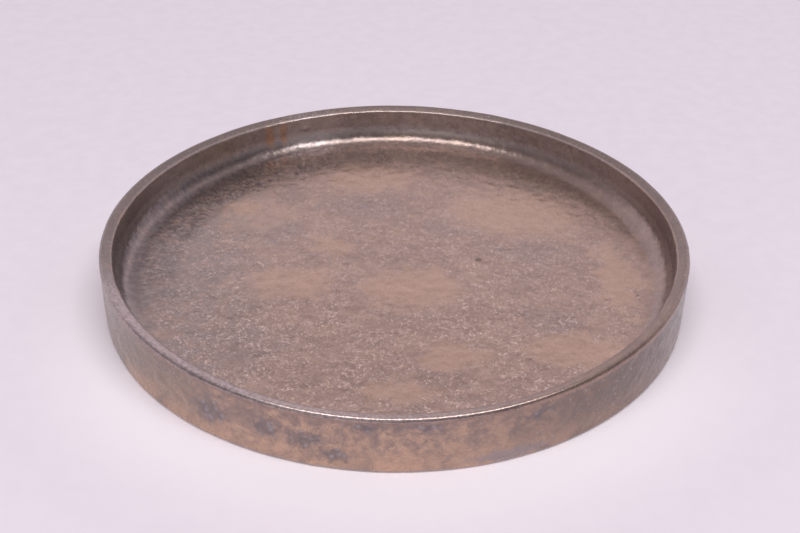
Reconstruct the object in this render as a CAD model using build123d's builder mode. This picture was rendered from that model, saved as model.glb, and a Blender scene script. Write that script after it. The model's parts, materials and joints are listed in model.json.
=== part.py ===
"""A round, straight-walled stoneware plate with a metallic bronze glaze.

The fired clay body is one piece: floor, wall, rim and a low foot ring. A thin skin of glaze lies on
it in two separate areas: over the well, the rim and the outer wall, and inside the foot ring.
Millimetres, +Z up. The origin is the centre of the circle on which the foot ring stands.
"""

from build123d import *
import os

# Driving dimensions
plate_diameter = 240.0
rim_corner_height = 26.7   # where the lines of the rim and the outer wall would meet, before rounding
rim_width = 5.2            # across the top of the wall
rim_fall = 2.5             # how much lower the rim is on its inner side
wall_draw_in = 0.4         # how much smaller the radius is at the bottom of the wall
floor_height = 8.0         # top of the well's floor above the table
apron_start = 97.0         # radius where the floor starts to rise towards the wall
apron_rise = 1.4           # how far it has risen where it would meet the wall
glaze_thickness = 0.4
glaze_stop_inset = 3.0     # the glaze ends this far in under the wall's lower edge

# Corner radii of the glazed surface
apron_radius = 180.0
cove_radius = 9.0
rim_inner_edge_radius = 0.9
rim_outer_edge_radius = 1.6
lower_edge_radius = 1.0

# Foot ring and underside
shoulder_height = 0.5
foot_outer_radius = 113.0
foot_width = 5.0
foot_edge_radius = 0.4
recess_height = 1.8        # underside of the bare clay inside the foot ring
underside_glaze_gap = 1.5  # bare clay between the foot ring and the glaze inside it

# Derived sizes
outer_radius = plate_diameter / 2
inner_radius = outer_radius - rim_width
rim_slope = rim_fall / rim_width
base_radius = outer_radius - wall_draw_in
glaze_stop_radius = base_radius - glaze_stop_inset
clay_shoulder = shoulder_height + glaze_thickness
foot_inner_radius = foot_outer_radius - foot_width
underside_glaze_radius = foot_inner_radius - underside_glaze_gap


def rim_point(radius, inset):
    """A point on the sloping line of the rim, moved into the clay by the inset."""
    drop = rim_slope * (outer_radius - radius) + inset * (1 + rim_slope**2) ** 0.5
    return (radius, rim_corner_height - drop)


def glazed_line(inset):
    """The plate's upper and outer outline, from the centre of the well to where the glaze ends.

    An inset of 0 is the glaze's outer surface, and the glaze thickness is the clay under it.
    """
    return FilletPolyline(
        (0, floor_height - inset),
        (apron_start, floor_height - inset),
        (inner_radius + inset, floor_height + apron_rise - inset),
        rim_point(inner_radius + inset, inset),
        rim_point(outer_radius - inset, inset),
        (base_radius - inset, shoulder_height + inset),
        (glaze_stop_radius, shoulder_height + inset),
        radius=[
            apron_radius + inset,
            cove_radius + inset,
            rim_inner_edge_radius - inset,
            rim_outer_edge_radius - inset,
            lower_edge_radius - inset,
        ],
    )


os.makedirs("parts", exist_ok=True)

# Stoneware body: floor, wall and rim, turned in one piece with the foot ring
with BuildPart() as stoneware_body:
    with BuildSketch(Plane.XZ):
        with BuildLine():
            clay_top = glazed_line(glaze_thickness)
            Polyline(
                clay_top @ 1,
                (foot_outer_radius, clay_shoulder),
                (foot_outer_radius, 0),
                (foot_inner_radius, 0),
                (foot_inner_radius, recess_height),
                (0, recess_height),
                clay_top @ 0,
            )
        make_face()
    revolve(axis=Axis.Z)
    foot_edges = stoneware_body.faces().sort_by(Axis.Z)[0].edges()
    fillet(foot_edges, radius=foot_edge_radius)
stoneware_body.part.label = "stoneware_body"
export_step(stoneware_body.part, "parts/stoneware_body.step")

# Glaze coat: the skin over the well, the rim and the outer wall, bonded to the clay in the kiln
with BuildPart() as glaze_coat:
    with BuildSketch(Plane.XZ):
        with BuildLine():
            glaze_surface = glazed_line(0)
            glaze_root = glazed_line(glaze_thickness)
            Line(glaze_surface @ 0, glaze_root @ 0)
            Line(glaze_surface @ 1, glaze_root @ 1)
        make_face()
    revolve(axis=Axis.Z)
glaze_coat.part.label = "glaze_coat"
export_step(glaze_coat.part, "parts/glaze_coat.step")

# Underside glaze: the round patch inside the foot ring, with its edge thinned to a curve
with BuildPart() as underside_glaze:
    with BuildSketch(Plane.XY.offset(recess_height)):
        Circle(underside_glaze_radius)
    extrude(amount=-glaze_thickness)
    fillet(underside_glaze.edges().sort_by(Axis.Z)[0], radius=glaze_thickness / 2)
underside_glaze.part.label = "underside_glaze"
export_step(underside_glaze.part, "parts/underside_glaze.step")
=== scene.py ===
"""The looks of a round, straight-walled stoneware plate with a metallic bronze glaze.

Every surface is turned from the same outline that the CAD model has, on a dense grid, and then gets
the relief of a fired glaze and the slight warp of a fired plate. Lengths are in metres, and MM turns
millimetres into metres.
"""

import json
import math

import bpy
import numpy as np
from mathutils import Matrix, Vector


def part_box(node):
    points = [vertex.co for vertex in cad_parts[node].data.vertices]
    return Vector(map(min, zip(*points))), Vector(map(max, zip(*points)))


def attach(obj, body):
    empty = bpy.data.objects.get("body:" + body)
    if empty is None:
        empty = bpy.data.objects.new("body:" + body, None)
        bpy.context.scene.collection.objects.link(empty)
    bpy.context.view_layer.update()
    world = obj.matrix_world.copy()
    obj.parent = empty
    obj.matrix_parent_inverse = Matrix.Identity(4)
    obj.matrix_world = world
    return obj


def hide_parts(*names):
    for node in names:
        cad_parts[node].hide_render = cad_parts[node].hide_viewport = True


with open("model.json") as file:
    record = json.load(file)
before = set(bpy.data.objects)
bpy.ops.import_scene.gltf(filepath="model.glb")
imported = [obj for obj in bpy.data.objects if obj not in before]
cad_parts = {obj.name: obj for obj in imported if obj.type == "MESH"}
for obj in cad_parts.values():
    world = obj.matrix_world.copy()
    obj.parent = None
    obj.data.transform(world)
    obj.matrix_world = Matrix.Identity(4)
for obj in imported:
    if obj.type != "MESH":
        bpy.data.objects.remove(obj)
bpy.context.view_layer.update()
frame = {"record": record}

MM = 0.001

# ---------------------------------------------------------------- sizes from the frame, in mm
coat_low, coat_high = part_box("glaze_coat")
patch_low, patch_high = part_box("underside_glaze")
mounts = {mount["name"]: mount for mount in frame["record"]["mounts"]}

OUTER_RADIUS = coat_high.x / MM + 0.04   # the unrounded corner lies just outside the box
RIM_TOP = coat_high.z / MM
SHOULDER = coat_low.z / MM
FLOOR = mounts["well_floor"]["pos_m"][2] / MM
FOOT_MIDDLE = mounts["foot"]["pos_m"][0] / MM
PATCH_RADIUS = patch_high.x / MM
PATCH_BOTTOM = patch_low.z / MM
RECESS = patch_high.z / MM

# ---------------------------------------------------------------- the outline's own sizes, in mm
RIM_WIDTH = 5.2
RIM_FALL = 2.5           # the rim slopes down to the well
RIM_CORNER_RISE = 0.963  # the rim's and the wall's lines meet this far above the rounded rim
WALL_DRAW_IN = 0.4
APRON_START = 97.0       # the floor rises gently from here to the wall
APRON_RISE = 1.4
APRON_RADIUS = 180.0
COVE_RADIUS = 9.0
RIM_INNER_EDGE = 0.9
RIM_OUTER_EDGE = 1.6
RIM_CUT = 1.6            # the rim's piece goes this far down the inner wall
RIM_DEPTH = 3.6          # and this far down the outer wall, from its top
LOWER_EDGE = 1.0
GLAZE = 0.4
GLAZE_STOP = 3.0
FOOT_WIDTH = 5.0
FOOT_EDGE = 0.4
AXIS_GAP = 0.01          # the clay's outline stops this close to the axis

INNER_RADIUS = OUTER_RADIUS - RIM_WIDTH
BASE_RADIUS = OUTER_RADIUS - WALL_DRAW_IN
RIM_SLOPE = RIM_FALL / RIM_WIDTH
RIM_CORNER = RIM_TOP + RIM_CORNER_RISE

# Warp of the fired rim: its height and radius change with the angle round the plate, in mm
WARP_SADDLE = 1.1
WARP_TRIPLE = -0.53
WARP_OVAL = -0.22

SEGMENTS = 1200          # vertices round every ring of glaze
UNDER_SPACING = 2.0      # between the rows on the glaze's hidden underside, in mm
UNDER_SHARE = 0.08       # how much of a visible row's room a hidden row gets in the UV map
SIDE_MARGIN = 0.03       # left free along a strip's sides in the UV map
END_MARGIN = 0.004       # and at its ends


# ---------------------------------------------------------------- outlines
def unit(vector):
    return vector / np.linalg.norm(vector)


def rounded_line(corners, radii, spacing):
    """Points close together along a line of (radius, height) corners, the inner ones rounded."""
    corners = [np.array(corner, float) for corner in corners]
    points = [corners[0]]
    for before, corner, after, radius in zip(corners, corners[1:], corners[2:], radii):
        back, on = unit(before - corner), unit(after - corner)
        half = 0.5 * math.acos(float(back @ on))
        centre = corner + unit(back + on) * radius / math.sin(half)
        first = corner + back * radius / math.tan(half) - centre
        last = corner + on * radius / math.tan(half) - centre
        turn = math.pi - 2 * half
        steps = max(3, math.ceil(radius * turn / spacing))
        for t in np.linspace(0, 1, steps + 1):
            arc = math.sin((1 - t) * turn) * first + math.sin(t * turn) * last
            points.append(centre + arc / math.sin(turn))
    points.append(corners[-1])
    return np.array(points)


def lengths_along(points):
    return np.concatenate([[0], np.cumsum(np.linalg.norm(np.diff(points, axis=0), axis=1))])


def rim_point(radius, inset):
    drop = RIM_SLOPE * (OUTER_RADIUS - radius) + inset * math.hypot(1, RIM_SLOPE)
    return (radius, RIM_CORNER - drop)


def glazed_corners(inset):
    return [
        (0, FLOOR - inset),
        (APRON_START, FLOOR - inset),
        (INNER_RADIUS + inset, FLOOR + APRON_RISE - inset),
        rim_point(INNER_RADIUS + inset, inset),
        rim_point(OUTER_RADIUS - inset, inset),
        (BASE_RADIUS - inset, SHOULDER + inset),
        (BASE_RADIUS - GLAZE_STOP, SHOULDER + inset),
    ]


def glazed_radii(inset):
    return [
        APRON_RADIUS + inset,
        COVE_RADIUS + inset,
        RIM_INNER_EDGE - inset,
        RIM_OUTER_EDGE - inset,
        LOWER_EDGE - inset,
    ]


surface_line = rounded_line(glazed_corners(0), glazed_radii(0), 0.05)
surface_along = lengths_along(surface_line)
surface_slope = np.gradient(surface_line, surface_along, axis=0)
surface_normal = np.stack([-surface_slope[:, 1], surface_slope[:, 0]], axis=1)


def on_outline(along):
    """(radius, height) and the outward normal, at these distances along the glazed outline."""
    place = [np.interp(along, surface_along, surface_line[:, k]) for k in (0, 1)]
    normal = [np.interp(along, surface_along, surface_normal[:, k]) for k in (0, 1)]
    normal = np.stack(normal, axis=-1)
    normal /= np.linalg.norm(normal, axis=-1, keepdims=True)
    return np.stack(place, axis=-1), normal


def along_at(radius=None, height=None, after=0.0):
    """Distance along the outline where it first passes a radius or a height, after a given one."""
    column, value = (0, radius) if height is None else (1, height)
    later = surface_along >= after
    beyond = (surface_line[:, column] - value) * (surface_line[later][0, column] - value) <= 0
    return float(surface_along[later & beyond][0])


# ---------------------------------------------------------------- relief of the glaze
LATTICE = 64
lattice = np.random.default_rng(11).uniform(-1, 1, (LATTICE, LATTICE, LATTICE)).astype(np.float32)
spin = np.array(Matrix.Rotation(0.7, 3, Vector((0.4, 0.5, 0.77)).normalized()))


def noise(points, wavelength, shift=0.0):
    """Smooth noise from -1 to 1 at points in mm, with features about a wavelength across."""
    p = points @ spin.T / (0.5 * wavelength) + shift
    cell = np.floor(p).astype(np.int64)
    t = p - cell
    t = t * t * (3 - 2 * t)
    total = np.zeros(len(points))
    for dx in (0, 1):
        for dy in (0, 1):
            for dz in (0, 1):
                weight = np.ones(len(points))
                for k, d in enumerate((dx, dy, dz)):
                    weight *= t[:, k] if d else 1 - t[:, k]
                c = (cell + (dx, dy, dz)) % LATTICE
                total += weight * lattice[c[:, 0], c[:, 1], c[:, 2]]
    return total


def smooth(value, low, high):
    t = np.clip((value - low) / (high - low), 0, 1)
    return t * t * (3 - 2 * t)


def band(value, low, high, edge):
    return smooth(value, low - edge, low + edge) * (1 - smooth(value, high - edge, high + edge))


COVE_ALONG = along_at(radius=INNER_RADIUS - COVE_RADIUS)
RIM_IN_ALONG = along_at(height=RIM_TOP - RIM_FALL - RIM_CUT)
EDGE_OUT_ALONG = float(surface_along[np.argmax(surface_line[:, 0])])
GLAZE_END = float(surface_along[-1])
WALL_MIDDLE = 0.5 * (EDGE_OUT_ALONG + GLAZE_END)

# Blemishes of the glaze: angle round the plate in degrees, then radius, height, size and lift in mm.
# A lift below zero sinks into the glaze.
BLEMISHES = [
    (112.5, INNER_RADIUS, FLOOR + 11.0, 1.0, 0.5),    # a blister on the inner wall
    (9.0, 36.0, FLOOR, 0.8, -0.16),                   # a pinhole in the floor
    (9.0, 36.0, FLOOR, 1.7, 0.05),                    # the low swelling round it
    (348.0, 101.0, FLOOR, 0.6, -0.18),                # a pit near the wall
    (257.0, BASE_RADIUS, SHOULDER + 1.4, 1.4, 0.22),  # a drip at the wall's foot
]
LEATHER_ANGLE = 150.0    # degrees: where round the plate the grain by the cove is strongest
GRAIN_RADIUS = 104.0     # the radius at which that grain has its true size round the plate
GRAIN_SQUEEZE = 0.5      # how wide the grooves are, for their length along the radius


def bump(points, angle, radius, height, size, lift):
    """A round lump, or a pit where lift is below zero, at a place given by angle, radius and height."""
    a = math.radians(angle)
    centre = np.array([radius * math.cos(a), radius * math.sin(a), height])
    distance = np.linalg.norm(points - centre, axis=1)
    return lift * np.exp(-((distance / size) ** 2))


def orange_peel(points, along):
    """The glaze's slow waves and its peel, which fades on the rim, by the wall and at the foot."""
    near_wall = band(along, COVE_ALONG - 14, COVE_ALONG + 14, 5)
    on_rim = band(along, RIM_IN_ALONG + 1.0, EDGE_OUT_ALONG - 0.3, 0.6)
    at_foot = smooth(along, GLAZE_END - 9, GLAZE_END - 6)
    height = 0.09 * noise(points, 38) + 0.05 * noise(points, 15, 7.3)
    peel = 0.115 * noise(points, 7.0, 3.1) + 0.040 * noise(points, 3.6, 9.7)
    height += peel * (1 - 0.85 * on_rim) * (1 - 0.4 * near_wall) * (1 - 0.8 * at_foot)
    height += near_wall * 0.06 * (0.5 - np.abs(noise(points, 5.2, 21.0)))
    height += on_rim * 0.015 * noise(points, 6.5, 17.0)
    return height


def cove_grain(points, along):
    """Short grooves beside the cove and pimples in it, both strongest at the back left."""
    angle = np.arctan2(points[:, 1], points[:, 0])
    radius = np.hypot(points[:, 0], points[:, 1])
    around = np.stack([np.cos(angle), np.sin(angle)], axis=1) * GRAIN_RADIUS
    drawn_out = np.column_stack([around, radius * GRAIN_SQUEEZE])
    back_left = smooth(np.cos(angle - math.radians(LEATHER_ANGLE)), 0.45, 0.85)
    grooved = band(along, COVE_ALONG - 17, COVE_ALONG + 1, 4) * (0.25 + 0.75 * back_left)
    in_cove = band(along, COVE_ALONG + 1, COVE_ALONG + 16, 2)
    height = grooved * 0.06 * noise(drawn_out, 3.2, 5.0)
    height += in_cove * (0.012 + 0.033 * back_left) * noise(points, 2.6, 27.0)
    return height


def wall_ripples(points, along):
    """The rougher relief on the outer wall, down to a little above its foot."""
    outside = band(along, EDGE_OUT_ALONG + 1.5, GLAZE_END - 7, 1.5)
    return outside * (0.05 * noise(points, 9, 2.2) + 0.04 * noise(points, 4.6, 13.0))


def relief(points, along):
    """Height of the fired glaze above the turned outline, in mm."""
    height = orange_peel(points, along) + cove_grain(points, along) + wall_ripples(points, along)
    for blemish in BLEMISHES:
        height += bump(points, *blemish)
    return height


def warp(points):
    """The plate's slight distortion from drying and firing. The foot stays flat."""
    angle = np.arctan2(points[:, 1], points[:, 0])
    radius = np.hypot(points[:, 0], points[:, 1])
    share = points[:, 2] / RIM_TOP * smooth(radius, 0.0, OUTER_RADIUS)
    moved = points.copy()
    moved[:, 2] += share * (WARP_SADDLE * np.cos(2 * angle) + WARP_TRIPLE * np.sin(3 * angle))
    moved[:, :2] *= (1 + share * WARP_OVAL * np.cos(2 * angle) / OUTER_RADIUS)[:, None]
    return moved


# ---------------------------------------------------------------- meshes
def place_piece(name, points, faces, uvs, flat_from, material, node):
    """Makes an object from points, lists of equal-sided faces and a UV place for every corner."""
    mesh = bpy.data.meshes.new(name)
    corners = np.concatenate([part.ravel() for part in faces])
    sides = np.concatenate([np.full(len(part), part.shape[1]) for part in faces])
    mesh.vertices.add(len(points))
    mesh.vertices.foreach_set("co", (points * MM).astype(np.float32).ravel())
    mesh.loops.add(len(corners))
    mesh.loops.foreach_set("vertex_index", corners.astype(np.int32))
    mesh.polygons.add(len(sides))
    starts = np.concatenate([[0], np.cumsum(sides)[:-1]])
    mesh.polygons.foreach_set("loop_start", starts.astype(np.int32))
    mesh.polygons.foreach_set("use_smooth", np.arange(len(sides)) < flat_from)
    mesh.update(calc_edges=True)
    layer = mesh.uv_layers.new(name="OFBake")
    layer.data.foreach_set("uv", np.concatenate([u.reshape(-1) for u in uvs]).astype(np.float32))
    mesh.materials.append(material)
    piece = bpy.data.objects.new(name, mesh)
    bpy.context.scene.collection.objects.link(piece)
    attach(piece, "root")
    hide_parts(node)
    return piece


def store_along(piece, along):
    """Keeps each vertex's distance along the outline, in mm, for the glaze's colours."""
    attribute = piece.data.attributes.new("along", "FLOAT", "POINT")
    attribute.data.foreach_set("value", along.astype(np.float32))


def set_edge_normals(piece, normals):
    """Gives some vertices the normal that they share with the next piece. Zero leaves one alone."""
    piece.data.normals_split_custom_set_from_vertices(normals.tolist())


def turned(pairs, segments):
    """Rows of points: every (radius, height) pair turned round the axis."""
    angles = np.arange(segments) * 2 * math.pi / segments
    grid = np.empty((len(pairs), segments, 3))
    grid[:, :, 0] = pairs[:, 0:1] * np.cos(angles)
    grid[:, :, 1] = pairs[:, 0:1] * np.sin(angles)
    grid[:, :, 2] = pairs[:, 1:2]
    return grid


def coat_surface(along):
    """The glaze's outer surface as rows of points, at these distances along the outline."""
    place, normal = on_outline(along)
    grid, outward = turned(place, SEGMENTS), turned(normal, SEGMENTS)
    points = grid.reshape(-1, 3)
    lift = relief(points, np.repeat(along, SEGMENTS))
    return warp(points + outward.reshape(-1, 3) * lift[:, None]).reshape(grid.shape)


def coat_normals(along):
    """The normals round one ring of the glaze's outer surface."""
    step = 0.3
    rows = coat_surface(np.array([along - step, along, along + step]))
    across = rows[2] - rows[0]
    around = np.roll(rows[1], -1, axis=0) - np.roll(rows[1], 1, axis=0)
    normal = np.cross(across, around)
    return normal / np.linalg.norm(normal, axis=1, keepdims=True)


def row_faces(rows, segments, closed):
    """Quads between rows of points, facing outwards where the rows run outwards on top."""
    row = np.arange(rows if closed else rows - 1)[:, None]
    column = np.arange(segments)[None, :]
    below, following = (row + 1) % rows * segments, (column + 1) % segments
    row = row * segments
    quads = [row + column, below + column, below + following, row + following]
    return np.stack(quads, axis=-1).reshape(-1, 4)


def strip_uv(shares, segments, strips):
    """UV places for row_faces: the rows lie in parallel strips, each row as wide as its share."""
    edges = np.concatenate([[0], np.cumsum(shares)]) / np.sum(shares)
    edges = SIDE_MARGIN + (1 - 2 * SIDE_MARGIN) * edges
    strip, step = np.divmod(np.arange(segments), segments // strips)
    u0 = END_MARGIN + (1 - 2 * END_MARGIN) * step / (segments // strips)
    u1 = END_MARGIN + (1 - 2 * END_MARGIN) * (step + 1) / (segments // strips)
    v0 = (strip[None, :] + edges[:-1, None]) / strips
    v1 = (strip[None, :] + edges[1:, None]) / strips
    u0, u1 = np.broadcast_to(u0, v0.shape), np.broadcast_to(u1, v0.shape)
    return np.stack([u0, v0, u0, v1, u1, v1, u1, v0], axis=-1)


def coat_ring(name, start, end, spacing, strips, material):
    """A closed skin of glaze round the plate, between two distances along the outline."""
    rows = math.ceil((end - start) / spacing) + 1
    under_rows = math.ceil((end - start) / UNDER_SPACING) + 1
    along = np.linspace(start, end, rows)
    under_along = np.linspace(end, start, under_rows)
    under, outward = on_outline(under_along)
    under = turned(under - outward * GLAZE, SEGMENTS)
    grid = np.concatenate([coat_surface(along), warp(under.reshape(-1, 3)).reshape(under.shape)])
    faces = row_faces(len(grid), SEGMENTS, True)
    shares = np.where(np.arange(len(grid)) < rows - 1, 1.0, UNDER_SHARE)
    uv = strip_uv(shares, SEGMENTS, strips)
    first_flat = (rows - 1) * SEGMENTS
    points = grid.reshape(-1, 3)
    piece = place_piece(
        name, points, [faces], [uv], first_flat, material, "glaze_coat"
    )
    store_along(piece, np.repeat(np.concatenate([along, under_along]), SEGMENTS))
    normals = np.zeros((len(points), 3))
    normals[:SEGMENTS] = coat_normals(start)
    normals[(rows - 1) * SEGMENTS : rows * SEGMENTS] = coat_normals(end)
    set_edge_normals(piece, normals)


def disc_plan(side, radius):
    """A square grid of side x side cells pressed into a disc, with even steps round its edge."""
    steps = np.linspace(-1, 1, side + 1)
    u, v = np.meshgrid(steps, steps, indexing="ij")
    wide = np.abs(u) >= np.abs(v)
    reach = np.where(wide, u, v)
    other = np.where(wide, v, u)
    turn = other / np.where(reach == 0, 1, reach) * math.pi / 4
    near, far = reach * radius * np.cos(turn), reach * radius * np.sin(turn)
    return np.stack([np.where(wide, near, far), np.where(wide, far, near)], axis=-1).reshape(-1, 2)


def disc_faces(side):
    """Quads over a square grid, and the vertices round its edge, anticlockwise."""
    i, j = np.meshgrid(np.arange(side), np.arange(side), indexing="ij")
    corner = i * (side + 1) + j
    quads = np.stack([corner, corner + side + 1, corner + side + 2, corner + 1], axis=-1)
    step = np.arange(side)
    row = side + 1
    edge = [step * row, side * row + step, (side - step) * row + side, side - step]
    return quads.reshape(-1, 4), np.concatenate(edge)


def disc_piece(name, side, radius, surface, back_height, upward, material, node):
    """A closed round slab with one shaped face: surface(flat points) gives that face's points.

    In the UV map the shaped face fills the square, and the wall and the back are small in a corner.
    """
    flat = disc_plan(side, radius)
    quads, edge = disc_faces(side)
    back = np.column_stack([flat[edge], np.full(len(edge), back_height)])
    points = np.concatenate([surface(flat), warp(back), [[0, 0, back_height]]])
    k = np.arange(len(edge))
    following = (k + 1) % len(edge)
    first, centre = len(flat), len(points) - 1
    wall = np.stack([edge, first + k, first + following, edge[following]], axis=-1)
    fan = np.stack([np.full(len(k), centre), first + following, first + k], axis=-1)
    front_uv, corner = 0.5 + 0.49 * flat / radius, 0.03
    place = np.concatenate([front_uv, corner + 0.02 * flat[edge] / radius, [[corner, corner]]])
    rim = corner + 0.024 * flat[edge] / radius
    wall_uv = np.concatenate([rim, place[first + k], place[first + following], rim[following]], axis=1)
    faces, uvs = [quads, wall, fan], [place[quads], wall_uv, place[fan]]
    if not upward:
        faces = [part[:, ::-1] for part in faces]
        wall_uv = wall_uv.reshape(-1, 4, 2)
        uvs = [place[quads[:, ::-1]], wall_uv[:, ::-1], place[fan[:, ::-1]]]
    return place_piece(name, points, faces, uvs, len(quads), material, node), edge


def coat_disc(name, radius, material):
    """The slab of glaze in the middle of the well."""

    def surface(flat):
        points = np.column_stack([flat, np.full(len(flat), FLOOR)])
        points[:, 2] += relief(points, np.hypot(flat[:, 0], flat[:, 1]))
        return warp(points)

    side = SEGMENTS // 4
    piece, edge = disc_piece(
        name, side, radius, surface, FLOOR - GLAZE, True, material, "glaze_coat"
    )
    count = len(piece.data.vertices)
    place = np.empty(count * 3, np.float32)
    piece.data.vertices.foreach_get("co", place)
    place = place.reshape(-1, 3) / MM
    store_along(piece, np.hypot(place[:, 0], place[:, 1]))
    normals = np.zeros((count, 3))
    turn = np.arctan2(place[edge, 1], place[edge, 0]) / (2 * math.pi) * SEGMENTS
    normals[edge] = coat_normals(radius)[np.round(turn).astype(int) % SEGMENTS]
    set_edge_normals(piece, normals)


CLAY_SEGMENTS = 480
HIDDEN_ROWS, BARE_ROWS, PATCH_ROWS = 110, 60, 12
HIDDEN_SHARE = 0.05      # as UNDER_SHARE, for the clay's hidden rows
UNDERCUT_CORNER = 0.25
RECESS_CORNER = 0.3


def clay_line():
    """The clay's outline as (radius, height) rows, with the visible foot finely divided."""
    corners = glazed_corners(GLAZE)[:-1]
    low = SHOULDER + GLAZE
    inside, outside = FOOT_MIDDLE - FOOT_WIDTH / 2, FOOT_MIDDLE + FOOT_WIDTH / 2
    corners += [(outside, low), (outside, 0), (inside, 0), (inside, RECESS), (AXIS_GAP, RECESS)]
    corners[0] = (AXIS_GAP, corners[0][1])
    radii = glazed_radii(GLAZE) + [UNDERCUT_CORNER, FOOT_EDGE, FOOT_EDGE, RECESS_CORNER]
    line = rounded_line(corners, radii, 0.05)
    along = lengths_along(line)
    shoulder = float(along[np.argmax(line[:, 0])]) + GLAZE_STOP
    recess = float(along[-1]) - PATCH_RADIUS
    steps = np.concatenate(
        [
            np.linspace(0, shoulder, HIDDEN_ROWS),
            np.linspace(shoulder, recess, BARE_ROWS)[1:],
            np.linspace(recess, along[-1], PATCH_ROWS)[1:],
        ]
    )
    line = np.stack([np.interp(steps, along, line[:, k]) for k in (0, 1)], axis=-1)
    return line, steps, shoulder, recess


def clay_points(line, along, shoulder, recess):
    """The clay's surface, with grit and the turning tool's ridges where the clay is bare."""
    points = turned(line, CLAY_SEGMENTS).reshape(-1, 3)
    bare = band(np.repeat(along, CLAY_SEGMENTS), shoulder, recess, 0.3)
    grit = 0.5 + 0.5 * noise(points, 1.7, 4.0)
    ridges = 0.5 + 0.5 * np.sin(np.repeat(line[:, 0], CLAY_SEGMENTS) * 5.5)
    radius = np.hypot(points[:, 0], points[:, 1])
    points[:, :2] *= (1 - bare * 0.03 * grit / np.maximum(radius, 1))[:, None]
    points[:, 2] += bare * (0.035 * grit + 0.03 * ridges)
    return warp(points)


def clay_body(material):
    """The clay: hidden under the glaze, and bare at the foot ring and the unglazed margins."""
    line, along, shoulder, recess = clay_line()
    points = clay_points(line, along, shoulder, recess)
    rows = len(line)
    ends = np.array([[0, 0, line[0, 1]], [0, 0, line[-1, 1]]])
    points = np.concatenate([points, ends])
    quads = row_faces(rows, CLAY_SEGMENTS, False)
    k = np.arange(CLAY_SEGMENTS)
    following = (k + 1) % CLAY_SEGMENTS
    last = (rows - 1) * CLAY_SEGMENTS
    top = np.stack([np.full(len(k), len(points) - 2), k, following], axis=-1)
    bottom = np.stack([np.full(len(k), len(points) - 1), last + following, last + k], axis=-1)
    middle = 0.5 * (along[1:] + along[:-1])
    shares = np.where((middle > shoulder) & (middle < recess), 1.0, HIDDEN_SHARE)
    uv = strip_uv(shares, CLAY_SEGMENTS, 8)
    spoke = 0.001 + 0.002 * np.array([0, 0, 1, 0, 0, 1])
    caps = np.tile(spoke, (CLAY_SEGMENTS, 1))
    place_piece(
        "clay_body", points, [quads, top, bottom], [uv, caps, caps], len(quads), material,
        "stoneware_body",
    )


def underside_disc(material):
    """The glaze brushed on inside the foot ring, with the rings that turning left under it."""

    def surface(flat):
        radius = np.hypot(flat[:, 0], flat[:, 1])
        points = np.column_stack([flat, np.full(len(flat), PATCH_BOTTOM)])
        rings = 0.05 * np.sin(radius * 1.9 + 1.5 * noise(points, 60)) * smooth(radius, 3, 12)
        depth = rings + 0.04 * noise(points, 5.0, 33.0) + 0.08 * noise(points, 30, 12.0)
        edge = smooth(radius, PATCH_RADIUS - 1.2, PATCH_RADIUS)
        points[:, 2] += (depth + 0.06) * (1 - edge) + 0.22 * edge * edge
        return points

    disc_piece(
        "underside_glaze_patch", 300, PATCH_RADIUS, surface, RECESS, False, material,
        "underside_glaze",
    )


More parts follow.
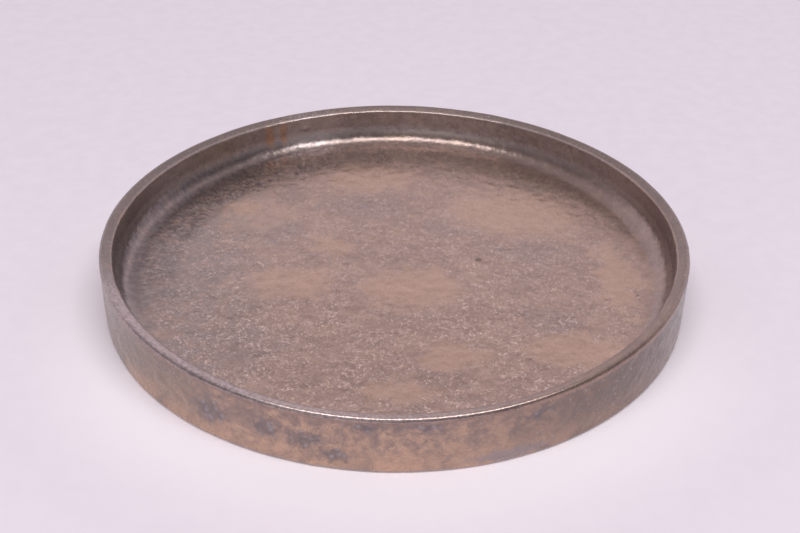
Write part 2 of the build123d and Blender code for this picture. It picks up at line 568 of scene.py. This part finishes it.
# ---------------------------------------------------------------- materials
class Nodes:
    """Short names for the shader nodes of a material or of the world."""

    def __init__(self, owner, coordinates, scale):
        owner.use_nodes = True
        self.owner, self.tree = owner, owner.node_tree
        self.place = self.scaled(self.new("ShaderNodeTexCoord").outputs[coordinates], scale)

    def new(self, kind, **values):
        node = self.tree.nodes.new(kind)
        for key, value in values.items():
            setattr(node, key, value)
        return node

    def put(self, socket, value):
        if isinstance(value, bpy.types.NodeSocket):
            self.tree.links.new(value, socket)
        else:
            socket.default_value = value

    def math(self, operation, a, b=0.0, clamp=False):
        node = self.new("ShaderNodeMath", operation=operation, use_clamp=clamp)
        self.put(node.inputs[0], a)
        self.put(node.inputs[1], b)
        return node.outputs[0]

    def both(self, a, b):
        return self.math("MULTIPLY", a, b, clamp=True)

    def larger(self, a, b):
        return self.math("MAXIMUM", a, b)

    def vector(self, operation, a, b=(0.0, 0.0, 0.0)):
        node = self.new("ShaderNodeVectorMath", operation=operation)
        self.put(node.inputs[0], a)
        self.put(node.inputs[1], b)
        return node.outputs["Vector"]

    def scaled(self, vector, factor):
        node = self.new("ShaderNodeVectorMath", operation="SCALE")
        self.put(node.inputs[0], vector)
        node.inputs["Scale"].default_value = factor
        return node.outputs["Vector"]

    def length(self, vector):
        node = self.new("ShaderNodeVectorMath", operation="LENGTH")
        self.put(node.inputs[0], vector)
        return node.outputs["Value"]

    def towards(self, x, y):
        """How far the place lies in the direction (x, y)."""
        node = self.new("ShaderNodeVectorMath", operation="DOT_PRODUCT")
        self.put(node.inputs[0], self.place)
        node.inputs[1].default_value = (x, y, 0)
        return node.outputs["Value"]

    def axes(self):
        """The place's X, Y and Z."""
        split = self.new("ShaderNodeSeparateXYZ")
        self.put(split.inputs[0], self.place)
        return split.outputs

    def noise(self, size, detail=2.0, rough=0.5, warp=0.0, shift=0.0, place=None):
        """Noise from about 0.2 to 0.8, with features about size millimetres across."""
        node = self.new("ShaderNodeTexNoise")
        where = self.vector("ADD", place or self.place, (shift, shift * 0.7, -shift))
        self.put(node.inputs["Vector"], where)
        node.inputs["Scale"].default_value = 1 / size
        node.inputs["Detail"].default_value = detail
        node.inputs["Roughness"].default_value = rough
        node.inputs["Distortion"].default_value = warp
        return node.outputs["Fac"]

    def ramp(self, value, low, high, to_low=0.0, to_high=1.0):
        """A smooth step: to_low where the value is at low, and to_high where it is at high."""
        node = self.new("ShaderNodeMapRange", interpolation_type="SMOOTHSTEP")
        self.put(node.inputs["Value"], value)
        for name, number in zip(
            ("From Min", "From Max", "To Min", "To Max"), (low, high, to_low, to_high)
        ):
            node.inputs[name].default_value = number
        return node.outputs["Result"]

    def band(self, value, low, high, edge):
        rise = self.ramp(value, low - edge, low + edge)
        return self.math("MULTIPLY", rise, self.ramp(value, high - edge, high + edge, 1.0, 0.0))

    def mix(self, share, a, b):
        node = self.new("ShaderNodeMix", data_type="RGBA")
        self.put(node.inputs["Factor"], share)
        self.put(node.inputs[6], a)
        self.put(node.inputs[7], b)
        return node.outputs[2]

    def lines(self, size, width, shift):
        """Thin curly lines: where a noise field passes its middle value."""
        field = self.noise(size, 1.0, 0.4, 1.2, shift)
        off = self.math("ABSOLUTE", self.math("SUBTRACT", field, 0.5))
        return self.ramp(off, 0.0, width, 1.0, 0.0)

    def spots(self, spacing, size, shift=0.0):
        """Small round spots, one in each cell of a grid with shaken cells."""
        node = self.new("ShaderNodeTexVoronoi")
        self.put(node.inputs["Vector"], self.vector("ADD", self.place, (shift, shift, shift)))
        node.inputs["Scale"].default_value = 1 / spacing
        return self.ramp(node.outputs["Distance"], 0.0, size / spacing, 1.0, 0.0)

    def polar(self, radius, squeeze):
        """Coordinates in which noise is drawn out along the radius when squeeze is under 1."""
        flat = self.vector("MULTIPLY", self.place, (1, 1, 0))
        outward = self.new("ShaderNodeCombineXYZ")
        self.put(outward.inputs[2], self.math("MULTIPLY", self.length(flat), squeeze))
        around = self.scaled(self.vector("NORMALIZE", flat), radius)
        return self.vector("ADD", around, outward.outputs[0])

    def patches(self, places, wander, size):
        """1 inside patches with feathery edges. Each has a centre and three half widths, in mm."""
        wobble = self.new("ShaderNodeTexNoise")
        self.put(wobble.inputs["Vector"], self.place)
        wobble.inputs["Scale"].default_value = 1 / size
        wobble.inputs["Detail"].default_value = 5.0
        wobble.inputs["Roughness"].default_value = 0.65
        offset = self.vector("SUBTRACT", wobble.outputs["Color"], (0.5, 0.5, 0.5))
        where = self.vector("ADD", self.place, self.scaled(offset, wander))
        total = 0.0
        for centre, halves in places:
            away = self.vector("DIVIDE", self.vector("SUBTRACT", where, centre), halves)
            total = self.larger(self.ramp(self.length(away), 0.4, 1.35, 1.0, 0.0), total)
        return total


class Skin(Nodes):
    """The nodes of a material, which work in millimetres in the object's own space."""

    def __init__(self, name):
        super().__init__(bpy.data.materials.new(name), "Object", 1 / MM)
        self.shader = self.tree.nodes["Principled BSDF"]

    def give(self, name, value):
        self.put(self.shader.inputs[name], value)

    def bump(self, height, strength, distance):
        node = self.new("ShaderNodeBump")
        node.inputs["Strength"].default_value = strength
        node.inputs["Distance"].default_value = distance * MM
        self.put(node.inputs["Height"], height)
        self.give("Normal", node.outputs["Normal"])


def color(r, g, b):
    return (r, g, b, 1.0)


# The colours, in linear RGB. The floor of the well
TAN, VIOLET, SLATE = color(0.55, 0.368, 0.272), color(0.40, 0.275, 0.226), color(0.36, 0.268, 0.235)
ASHEN = color(0.29, 0.25, 0.235)
DARK_STREAK = color(0.22, 0.165, 0.155)
PALE_HAIR = color(0.88, 0.66, 0.56)
PIT_BROWN = color(0.11, 0.07, 0.055)
# The cove and the inner wall
DARK_LEATHER = color(0.13, 0.10, 0.10)
COVE_GREY, COVE_SHADE = color(0.30, 0.25, 0.255), color(0.11, 0.09, 0.095)
SIDE_BROWN = color(0.22, 0.165, 0.15)
BACK_PALE, BACK_MOTTLE = color(0.80, 0.67, 0.655), color(0.36, 0.295, 0.29)
PALEST = color(0.95, 0.81, 0.79)
OCHRE = color(0.56, 0.40, 0.29)
RUN_ORANGE = color(0.86, 0.50, 0.33)
BLISTER_GREY = color(0.75, 0.66, 0.66)
# The rim
RIM_GREY, RIM_WEAR_AND_REFLECTION, RIM_SPECK = color(0.235, 0.19, 0.18), color(0.74, 0.62, 0.64), color(0.75, 0.68, 0.66)
# The outer wall
BROWN, ORANGE, UMBER = color(0.45, 0.325, 0.27), color(0.70, 0.475, 0.345), color(0.30, 0.235, 0.22)
OLIVE, DUSK = color(0.27, 0.225, 0.185), color(0.205, 0.163, 0.148)
FOOT_ORANGE = color(0.70, 0.465, 0.335)
BLOB_DARK, BLOB_SPOT = color(0.20, 0.175, 0.185), color(0.54, 0.53, 0.58)
PALE_DOT = color(0.66, 0.58, 0.56)
STEEL_BLUE = color(0.30, 0.295, 0.35)


def on_floor(x, y, half_width, half_depth):
    """A patch of the well's floor, as a centre and three half widths."""
    return (x, y, FLOOR), (half_width, half_depth, 40)


def on_wall(radius, angle, height, half_width, half_height):
    """A patch of a wall, as a centre and three half widths."""
    a = math.radians(angle)
    return (radius * math.cos(a), radius * math.sin(a), height), (half_width, half_width, half_height)


TAN_PATCHES = [
    on_floor(-64, 42, 19, 17), on_floor(-12, 76, 26, 14), on_floor(52, 46, 36, 22),
    on_floor(-27, 14, 11, 8), on_floor(-44, -15, 20, 14), on_floor(6, -16, 24, 17),
    on_floor(92, -6, 9, 30), on_floor(24, -63, 17, 9), on_floor(70, -58, 22, 12),
    on_floor(2, -84, 15, 8),
]
SMOKY_PATCHES = [
    on_floor(-18, 50, 24, 10), on_floor(26, 33, 16, 11), on_floor(-48, 27, 12, 10),
    on_floor(58, 12, 20, 9), on_floor(-88, -8, 20, 42), on_floor(62, -38, 14, 8),
    on_floor(-66, -58, 30, 18), on_floor(4, 98, 42, 8),
]
WALL_BLOBS = [
    on_wall(BASE_RADIUS, 238, 12, 8, 5.5), on_wall(BASE_RADIUS, 249, 13.5, 6, 5),
    on_wall(BASE_RADIUS, 256, 12.5, 6.5, 4), on_wall(BASE_RADIUS, 261, 6.5, 5.5, 3),
    on_wall(BASE_RADIUS, 266, 22, 10, 3), on_wall(BASE_RADIUS, 275, 21.5, 9, 3),
    on_wall(BASE_RADIUS, 296, 19, 7, 2.5),
]
BLUE_SHEEN = [on_wall(BASE_RADIUS, 290, 3.5, 17, 2.5)]
ORANGE_RUNS = [
    on_wall(INNER_RADIUS, 122, 16, 2.6, 11), on_wall(INNER_RADIUS, 118.5, 16, 1.8, 10),
]
OCHRE_WALL = [on_wall(INNER_RADIUS, 137, 19, 20, 6)]
PALE_WALL = [on_wall(INNER_RADIUS, 112, 18, 18, 9)]
BLISTER = [on_wall(INNER_RADIUS, 112.5, FLOOR + 11.0, 1.3, 1.3)]
PITS = [on_floor(35.5, 5.6, 1.5, 1.5), on_floor(98.8, -21, 0.7, 0.7)]


class Glaze(Skin):
    """What the bronze glaze's zones share: where a point is, and how strong the leather is there."""

    def __init__(self, name):
        super().__init__(name)
        self.along = self.new("ShaderNodeAttribute", attribute_name="along").outputs["Fac"]
        axes = self.axes()
        self.side, self.depth = axes["X"], axes["Y"]
        self.smooth_tan = self.patches(TAN_PATCHES, 26, 7)
        self.far_left = self.ramp(self.towards(-0.87, 0.5), 45, 96)
        self.leather = self.noise(1.9, 4.0, 0.7, 0.6, 8.0, self.polar(GRAIN_RADIUS, 0.6))

    def past_cove(self, start, end, edge):
        """A band along the outline, counted from where the floor ends and the cove begins."""
        return self.band(self.along, COVE_ALONG + start, COVE_ALONG + end, edge)


def floor_color(n):
    """Tan where the floor is smooth, violet-brown elsewhere, with smoky clouds and dark streaks."""
    smoky = n.patches(SMOKY_PATCHES, 34, 6)
    drift = n.ramp(n.noise(18, 5.0, 0.65, 0.8, 31.0), 0.38, 0.62)
    base = n.mix(n.ramp(drift, 0.0, 1.0, 0.0, 0.5), VIOLET, TAN)
    base = n.mix(n.ramp(smoky, 0.0, 1.0, 0.0, 0.65), base, SLATE)
    base = n.mix(n.ramp(n.smooth_tan, 0.0, 1.0, 0.0, 0.8), base, TAN)
    cloudy = n.ramp(n.noise(9, 4.0, 0.6, 0.4, 66.0), 0.35, 0.6)
    base = n.mix(n.both(n.ramp(n.side, -30, -85, 0.0, 0.65), cloudy), base, ASHEN)
    streaks = n.ramp(n.noise(4.2, 4.0, 0.7, 0.8, 77.0), 0.40, 0.60, 1.0, 0.0)
    streaks = n.both(streaks, n.ramp(n.smooth_tan, 0.2, 0.9, 0.26, 0.06))
    return n.mix(streaks, base, DARK_STREAK)


def pale_hairs(n):
    """Where the floor's tangle of fine pale hairs lies: hardly in the smooth tan patches."""
    hairs = n.larger(n.lines(3.9, 0.026, 3.0), n.lines(2.9, 0.030, 57.0))
    hairs = n.larger(hairs, n.lines(3.3, 0.026, 25.0))
    where = n.ramp(n.smooth_tan, 0.2, 0.9, 1.0, 0.15)
    where = n.both(where, n.ramp(n.noise(11, 3.0, 0.6, 0.0, 12.0), 0.34, 0.54, 0.3, 1.0))
    hairs = n.both(n.both(hairs, where), n.ramp(n.noise(2.0, 1.0, 0.5, 0.0, 44.0), 0.40, 0.52))
    hairs = n.both(hairs, n.ramp(n.along, COVE_ALONG - 8, COVE_ALONG + 2, 1.0, 0.0))
    return n.both(hairs, n.ramp(n.depth, -70, 40, 1.0, 0.6))


def leather_ring(n, base):
    """Dark leathery grain on both sides of the cove: strongest at the back left."""
    far_right = n.ramp(n.towards(0.8, 0.6), 75, 105, 0.0, 0.25)
    strength = n.math("ADD", n.far_left, far_right)
    strength = n.math("ADD", strength, n.ramp(n.depth, -20, 70, 0.0, 0.20), True)
    ring = n.larger(n.past_cove(-16, 1, 4), n.past_cove(8, 17, 2))
    across = n.both(n.past_cove(-16, 17, 3), n.far_left)
    ring = n.larger(ring, n.both(across, 0.7))
    ring = n.both(ring, n.ramp(n.leather, 0.42, 0.57, 1.0, 0.2))
    ring = n.both(ring, n.ramp(n.noise(26, 2.0, 0.5, 0.0, 41.0), 0.35, 0.6, 0.6, 1.0))
    return n.mix(n.both(n.both(ring, strength), 0.85), base, DARK_LEATHER)


def cove_color(n, base):
    """Greyer in the cove, and darker at the back left, partly the glaze's leathery grain and partly
    painted shade, but for a narrow unshaded ridge where the highlight runs.
    """
    base = n.mix(n.both(n.past_cove(1, 9.5, 2.5), 0.35), base, COVE_GREY)
    ridge = n.past_cove(3.5, 5.5, 1.2)
    # Painted shade, broken by the leathery grain: the back left of the cove is darkened, all but the
    # ridge where the highlight runs.
    shade = n.math("SUBTRACT", n.past_cove(-2, 13, 3), ridge, True)
    shade = n.both(n.both(shade, n.far_left), n.ramp(n.leather, 0.40, 0.60, 0.75, 0.45))
    return n.mix(shade, base, COVE_SHADE)


def inner_wall_color(n, base):
    """Dark at the sides, pale and mottled at the back, with ochre and a few orange runs."""
    wall = n.band(n.along, COVE_ALONG + 9.5, RIM_IN_ALONG + 1, 2.5)
    back = n.ramp(n.depth, 15, 85)
    mottle = n.noise(3.4, 5.0, 0.7, 0.5, 28.0)
    base = n.mix(n.both(wall, n.ramp(back, 0.0, 1.0, 0.75, 0.0)), base, SIDE_BROWN)
    back = n.both(wall, back)
    base = n.mix(n.both(back, 0.85), base, BACK_PALE)
    base = n.mix(n.both(back, n.ramp(mottle, 0.36, 0.60, 0.5, 0.0)), base, BACK_MOTTLE)
    base = n.mix(n.both(n.patches(PALE_WALL, 6, 4), 0.55), base, PALEST)
    base = n.mix(n.both(n.both(n.patches(OCHRE_WALL, 8, 3), wall), 0.4), base, OCHRE)
    return n.mix(n.both(n.both(n.patches(ORANGE_RUNS, 6, 3), wall), 0.9), base, RUN_ORANGE)


def blemish_color(n, base):
    base = n.mix(n.both(n.patches(BLISTER, 0.5, 1), 0.6), base, BLISTER_GREY)
    return n.mix(n.both(n.patches(PITS, 1.6, 1.5), 0.75), base, PIT_BROWN)


def rim_color(n, base):
    """Worn to a greyer bronze at the sides and the back, and pale in front, partly from wear and partly
    as a painted reflection of the pale backdrop, with pale specks.
    """
    rim = n.band(n.along, RIM_IN_ALONG + 1.4, EDGE_OUT_ALONG - 0.2, 0.4)
    grain = n.noise(1.3, 4.0, 0.7, 0.2, 63.0)
    grey = n.both(n.ramp(grain, 0.38, 0.62, 1.0, 0.5), n.ramp(n.depth, -85, 0, 0.4, 1.0))
    base = n.mix(n.both(rim, grey), base, RIM_GREY)
    # Partly wear and partly painted reflection: the front of the rim, most at the left, is painted pale.
    wear_and_reflection = n.both(n.ramp(n.depth, -20, -60), n.ramp(n.side, 90, -30))
    wear_and_reflection = n.both(n.both(rim, wear_and_reflection), n.ramp(grain, 0.36, 0.64, 0.2, 0.7))
    base = n.mix(wear_and_reflection, base, RIM_WEAR_AND_REFLECTION)
    return n.mix(n.both(n.both(n.spots(5.0, 0.7), rim), 0.6), base, RIM_SPECK)


def outer_wall_color(n, base):
    """Brown and orange in front, olive at the left, duller at the right, and orange at the foot."""
    wall = n.ramp(n.along, EDGE_OUT_ALONG, EDGE_OUT_ALONG + 1.5)
    mottle = n.noise(4.5, 5.0, 0.7, 1.0, 90.0)
    warm = n.mix(n.ramp(n.noise(8, 5.0, 0.65, 0.9, 50.0), 0.40, 0.60), BROWN, ORANGE)
    base = n.mix(n.both(wall, n.ramp(n.depth, 0, -60, 0.0, 0.9)), base, warm)
    base = n.mix(n.both(wall, n.ramp(mottle, 0.38, 0.58, 0.65, 0.0)), base, UMBER)
    base = n.mix(n.both(wall, n.ramp(n.side, -45, -100, 0.0, 0.75)), base, OLIVE)
    base = n.mix(n.both(wall, n.ramp(n.side, 5, 95, 0.0, 0.9)), base, DUSK)
    foot = n.ramp(n.along, WALL_MIDDLE - 4, GLAZE_END - 4)
    foot = n.both(foot, n.ramp(n.noise(14, 4.0, 0.6, 0.5, 71.0), 0.36, 0.6, 0.15, 0.75))
    base = n.mix(n.both(foot, n.ramp(n.side, 20, 90, 1.0, 0.3)), base, FOOT_ORANGE)
    return wall_marks(n, base, wall)


def wall_marks(n, base, wall):
    """Dark blobs that carry pale blue-grey spots, pale dots, and a blue sheen low on the right."""
    blobs = n.both(wall, n.patches(WALL_BLOBS, 14, 4))
    base = n.mix(n.both(blobs, 0.7), base, BLOB_DARK)
    spotted = n.both(n.ramp(blobs, 0.3, 0.8), n.spots(2.3, 1.4, 5.0))
    base = n.mix(n.both(spotted, 0.55), base, BLOB_SPOT)
    dots = n.both(n.spots(3.1, 0.75, 9.0), n.ramp(n.side, -10, 30, 0.15, 0.5))
    base = n.mix(n.both(wall, dots), base, PALE_DOT)
    sheen = n.both(wall, n.patches(BLUE_SHEEN, 8, 3))
    return n.mix(n.both(sheen, 0.6), base, STEEL_BLUE)


def grained(n, base, dark):
    """The base colour with a fine dark grain over it."""
    grain = n.noise(0.7, 3.0, 0.6, 0.0, 2.0)
    return n.mix(n.ramp(grain, 0.25, 0.75, 0.30, 0.0), base, dark)


def glaze_roughness(n, hairs):
    """Glossy, but matt on the rim."""
    matt = n.band(n.along, RIM_IN_ALONG + 1.2, EDGE_OUT_ALONG - 2.0, 0.4)
    rough = n.ramp(n.noise(5.0, 3.0, 0.6, 0.0, 15.0), 0.3, 0.7, 0.20, 0.30)
    rough = n.math("ADD", rough, n.math("MULTIPLY", matt, 0.22))
    rough = n.math("ADD", rough, n.math("MULTIPLY", n.past_cove(-1, 15, 3), 0.02))
    return n.math("SUBTRACT", rough, n.math("MULTIPLY", hairs, 0.04))


def bronze_glaze():
    n = Glaze("bronze_glaze")
    hairs = pale_hairs(n)
    base = n.mix(n.both(hairs, 0.75), floor_color(n), PALE_HAIR)
    zones = (leather_ring, cove_color, inner_wall_color, blemish_color, rim_color, outer_wall_color)
    for zone in zones:
        base = zone(n, base)
    n.give("Base Color", grained(n, base, color(0.12, 0.09, 0.08)))
    n.give("Metallic", 0.65)
    n.give("Roughness", glaze_roughness(n, hairs))
    pimples = n.noise(1.1, 2.0, 0.6, 0.4, 6.0)
    n.bump(n.math("ADD", pimples, n.math("MULTIPLY", hairs, 0.5)), 0.5, 0.11)
    return n.owner


def underside_glaze():
    n = Skin("underside_glaze")
    pools = n.ramp(n.noise(24, 4.0, 0.6, 0.5, 19.0), 0.38, 0.62)
    base = n.mix(pools, color(0.25, 0.17, 0.125), color(0.38, 0.27, 0.21))
    thin = n.ramp(n.noise(6.0, 3.0, 0.6, 0.4, 55.0), 0.52, 0.66)
    base = n.mix(n.both(thin, 0.5), base, color(0.18, 0.12, 0.10))
    n.give("Base Color", grained(n, base, color(0.10, 0.07, 0.06)))
    n.give("Metallic", 0.75)
    n.give("Roughness", n.ramp(n.noise(4.0, 3.0, 0.6, 0.0, 9.0), 0.3, 0.7, 0.32, 0.5))
    n.bump(n.noise(1.1, 2.0, 0.6, 0.4, 6.0), 0.5, 0.04)
    return n.owner


def bare_clay():
    n = Skin("bare_clay")
    cloudy = n.ramp(n.noise(12, 4.0), 0.35, 0.65)
    base = n.mix(cloudy, color(0.20, 0.12, 0.085), color(0.27, 0.175, 0.125))
    base = n.mix(n.both(n.spots(3.5, 0.6), 0.6), base, color(0.08, 0.055, 0.045))
    grain = n.noise(0.5, 3.0, 0.7)
    base = n.mix(n.ramp(grain, 0.3, 0.7, 0.3, 0.0), base, color(0.10, 0.06, 0.045))
    n.give("Base Color", base)
    n.give("Roughness", n.ramp(grain, 0.3, 0.7, 0.95, 0.75))
    n.bump(grain, 0.6, 0.08)
    return n.owner


def paper():
    """Pale paper with painted light: brighter towards the camera, and brighter still close to the plate's
    front.
    """
    n = Skin("paper")
    away, depth = n.length(n.place), n.axes()["Y"]
    fibre = n.ramp(n.noise(9, 3.0, 0.6), 0.3, 0.7)
    base = n.mix(fibre, color(0.86, 0.788, 0.86), color(0.89, 0.818, 0.887))
    # Painted light: the paper is paler towards the camera, and paler still just in front of the plate,
    # where the wall throws light on it.
    base = n.mix(n.both(n.ramp(depth, 160, -200), 0.6), base, color(0.97, 0.887, 0.96))
    glow = n.both(n.ramp(away, 116, 158, 1.0, 0.0), n.ramp(depth, 20, -100, 0.45, 1.0))
    n.give("Base Color", n.mix(glow, base, color(0.99, 0.92, 0.975)))
    n.give("Roughness", 0.9)

    # The light that the metallic wall throws on the paper in front of it
    thrown = n.both(n.ramp(away, 116, 175, 1.0, 0.0), n.ramp(depth, 0, -115))
    n.give("Emission Color", color(1.0, 0.91, 0.98))
    n.give("Emission Strength", n.math("MULTIPLY", thrown, 0.17))
    return n.owner


# ---------------------------------------------------------------- the plate
DISC_RADIUS = 72.0
FLOOR_END = along_at(radius=103.5)
EDGE_BOTTOM = along_at(height=RIM_TOP - RIM_DEPTH, after=EDGE_OUT_ALONG)

# The rings of glaze round the disc: name, both ends along the outline in mm, the spacing of their
# rows in mm, and the number of strips that they are cut into in the UV map
GLAZE_RINGS = [
    ("well_margin_glaze", DISC_RADIUS, FLOOR_END, 0.5, 4),
    ("inner_wall_glaze", FLOOR_END, RIM_IN_ALONG, 0.33, 5),
    ("rim_glaze", RIM_IN_ALONG, EDGE_BOTTOM, 0.2, 8),
    ("outer_wall_glaze", EDGE_BOTTOM, GLAZE_END, 0.36, 5),
]

glaze = bronze_glaze()
coat_disc("well_floor_glaze", DISC_RADIUS, glaze)
for ring in GLAZE_RINGS:
    coat_ring(*ring, glaze)
clay_body(bare_clay())
underside_disc(underside_glaze())


# ---------------------------------------------------------------- stage, lights and camera
def stage_floor():
    mesh = bpy.data.meshes.new("floor")
    size = 6.0    # metres from the middle to each side
    corners = [(-size, -size, 0), (size, -size, 0), (size, size, 0), (-size, size, 0)]
    mesh.from_pydata(corners, [], [(0, 1, 2, 3)])
    mesh.materials.append(paper())
    floor = bpy.data.objects.new("floor", mesh)
    bpy.context.scene.collection.objects.link(floor)


def softbox(name, azimuth, elevation, distance, width, height, power):
    """A rectangular area light that faces the plate. Angles are in degrees, 0 on the camera's side."""
    light = bpy.data.lights.new(name, "AREA")
    light.shape = "RECTANGLE"
    light.size, light.size_y = width, height
    light.energy = power
    lamp = bpy.data.objects.new(name, light)
    bpy.context.scene.collection.objects.link(lamp)
    a, e = math.radians(azimuth), math.radians(elevation)
    place = (
        distance * math.sin(a) * math.cos(e),
        -distance * math.cos(a) * math.cos(e),
        distance * math.sin(e),
    )
    direction = -Vector(place).normalized()
    across = Vector((1, 0, 0))
    up = across.cross(direction).normalized()
    across = direction.cross(up)
    turn = Matrix((across, up, -direction)).transposed()
    lamp.matrix_world = Matrix.Translation(place) @ turn.to_4x4()


def surroundings():
    """A room with a pale wall low down behind the plate, and dark on the camera's side."""
    world = bpy.data.worlds.new("room")
    bpy.context.scene.world = world
    n = Nodes(world, "Generated", 1.0)
    pale, dim, dark = color(1.0, 0.915, 1.02), color(0.42, 0.383, 0.42), color(0.15, 0.136, 0.15)
    backdrop = color(0.72, 0.655, 0.73)
    direction = n.axes()
    low = n.mix(n.ramp(direction["Y"], 0.0, 0.65), dark, pale)
    above = n.mix(n.ramp(direction["Y"], -0.35, 0.1), dark, dim)
    room = n.mix(n.ramp(direction["Z"], 0.52, 0.85), low, above)
    in_view = n.new("ShaderNodeLightPath").outputs["Is Camera Ray"]
    n.put(n.tree.nodes["Background"].inputs["Color"], n.mix(in_view, room, backdrop))


CAMERA_LENS = 58.0
CAMERA_SHIFT = (-0.0009, 0.0006)
CAMERA_ELEVATION = 32.85    # degrees
CAMERA_ROLL = 0.672         # degrees
CAMERA_DISTANCE = 4.632     # in radii of the plate
CAMERA_TARGET = Vector((0.0026, 0.0120, 0.0))


def camera():
    data = bpy.data.cameras.new("camera")
    data.lens = CAMERA_LENS
    data.sensor_width = 36.0
    data.shift_x, data.shift_y = CAMERA_SHIFT
    cam = bpy.data.objects.new("camera", data)
    bpy.context.scene.collection.objects.link(cam)
    e = math.radians(CAMERA_ELEVATION)
    away = CAMERA_DISTANCE * OUTER_RADIUS * MM * Vector((0, -math.cos(e), math.sin(e)))
    turn = (-away).to_track_quat("-Z", "Y").to_matrix()
    turn = turn @ Matrix.Rotation(math.radians(CAMERA_ROLL), 3, "Z")
    cam.matrix_world = Matrix.Translation(CAMERA_TARGET + away) @ turn.to_4x4()
    bpy.context.scene.camera = cam


stage_floor()
surroundings()
softbox("key", azimuth=17, elevation=76, distance=3.0, width=3.1, height=0.8, power=51.0)
softbox("front", azimuth=-20, elevation=30, distance=1.3, width=1.05, height=0.62, power=0.72)
camera()
bpy.context.scene.view_settings.view_transform = "Standard"
